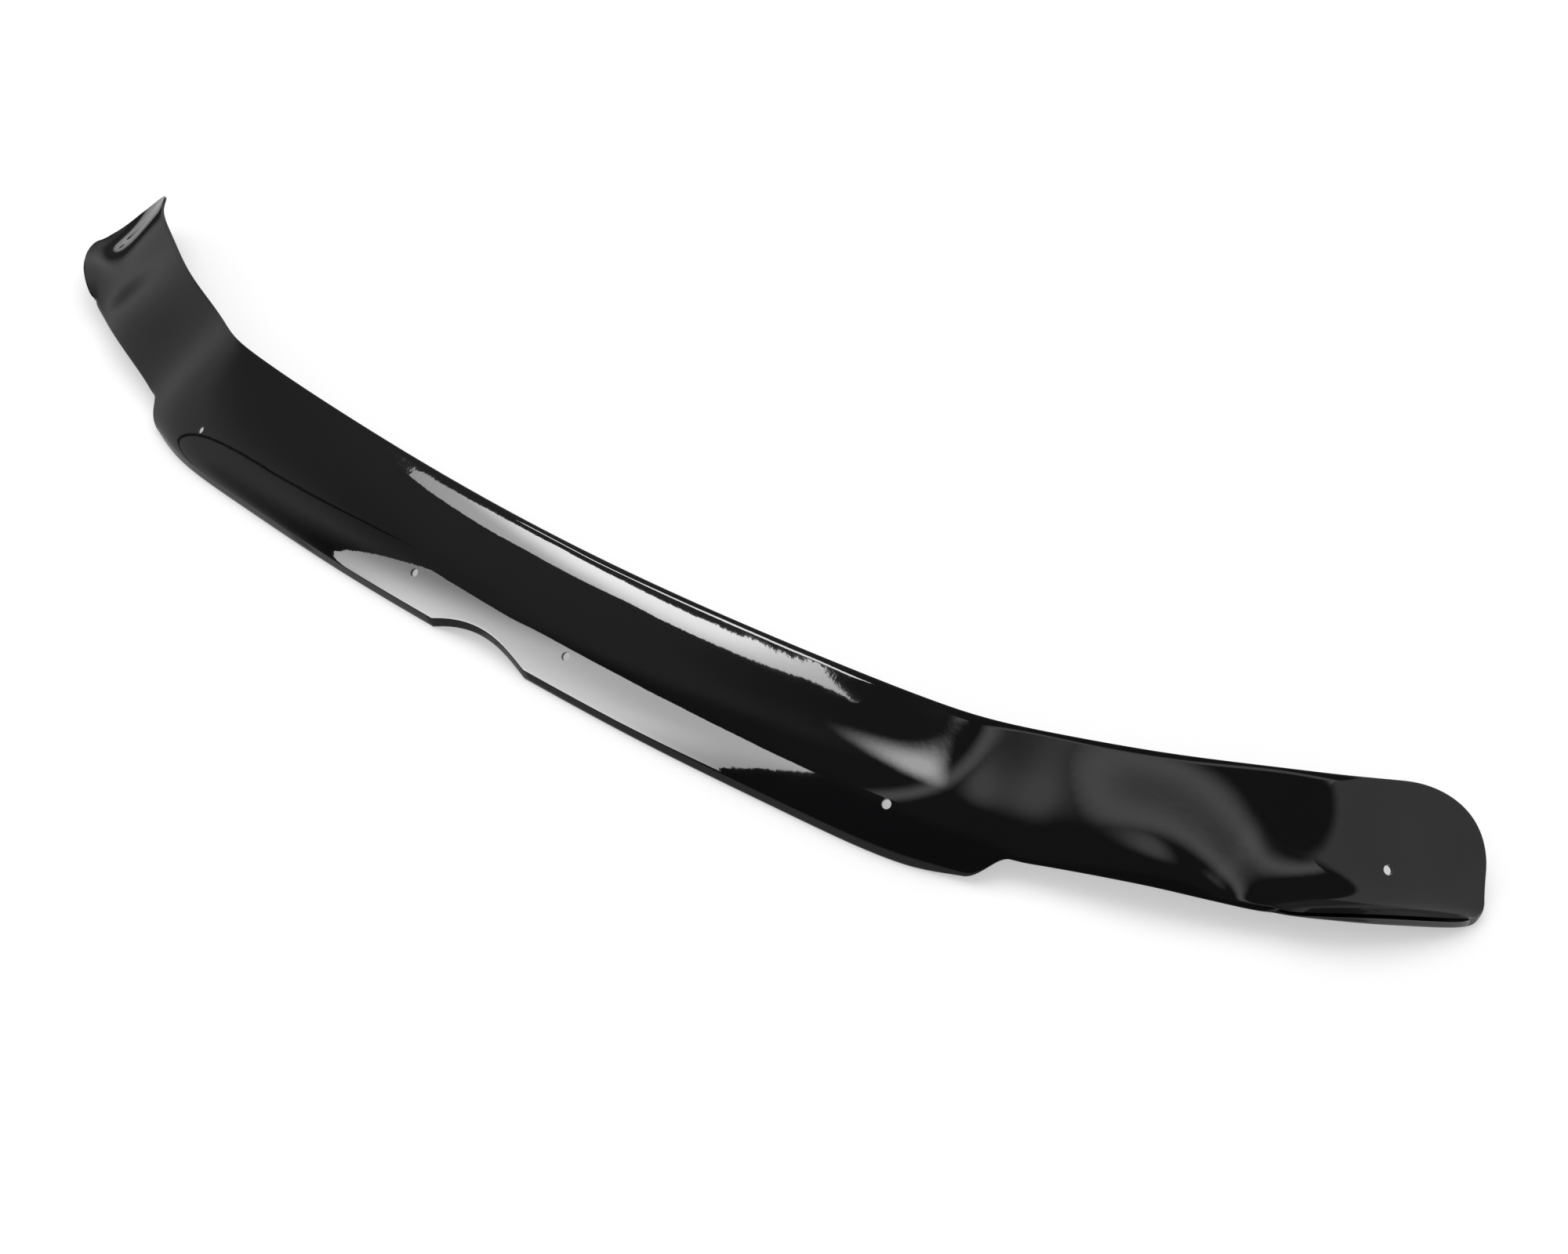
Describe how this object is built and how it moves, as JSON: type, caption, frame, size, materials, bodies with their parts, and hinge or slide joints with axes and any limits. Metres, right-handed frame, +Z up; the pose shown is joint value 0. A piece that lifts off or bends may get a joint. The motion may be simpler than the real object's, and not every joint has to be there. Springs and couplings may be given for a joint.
{
  "type": "hood bug deflector",
  "caption": "Swept-back moulded acrylic deflector for a hood's front edge, with a bowed face, plain fixing holes, a lower lip and a centre notch.",
  "frame": {"origin": "centre of the bounding box on the bench the part lies on", "axes": "+X towards the part's right wing as it faces the viewer, -Y forward, +Z up, outer face up"},
  "size_m": [1.444, 0.26, 0.075],
  "materials": {
    "smoked_acrylic": "gloss"
  },
  "bodies": {
    "root": {"deflector": "smoked_acrylic"}
  },
  "joints": []
}
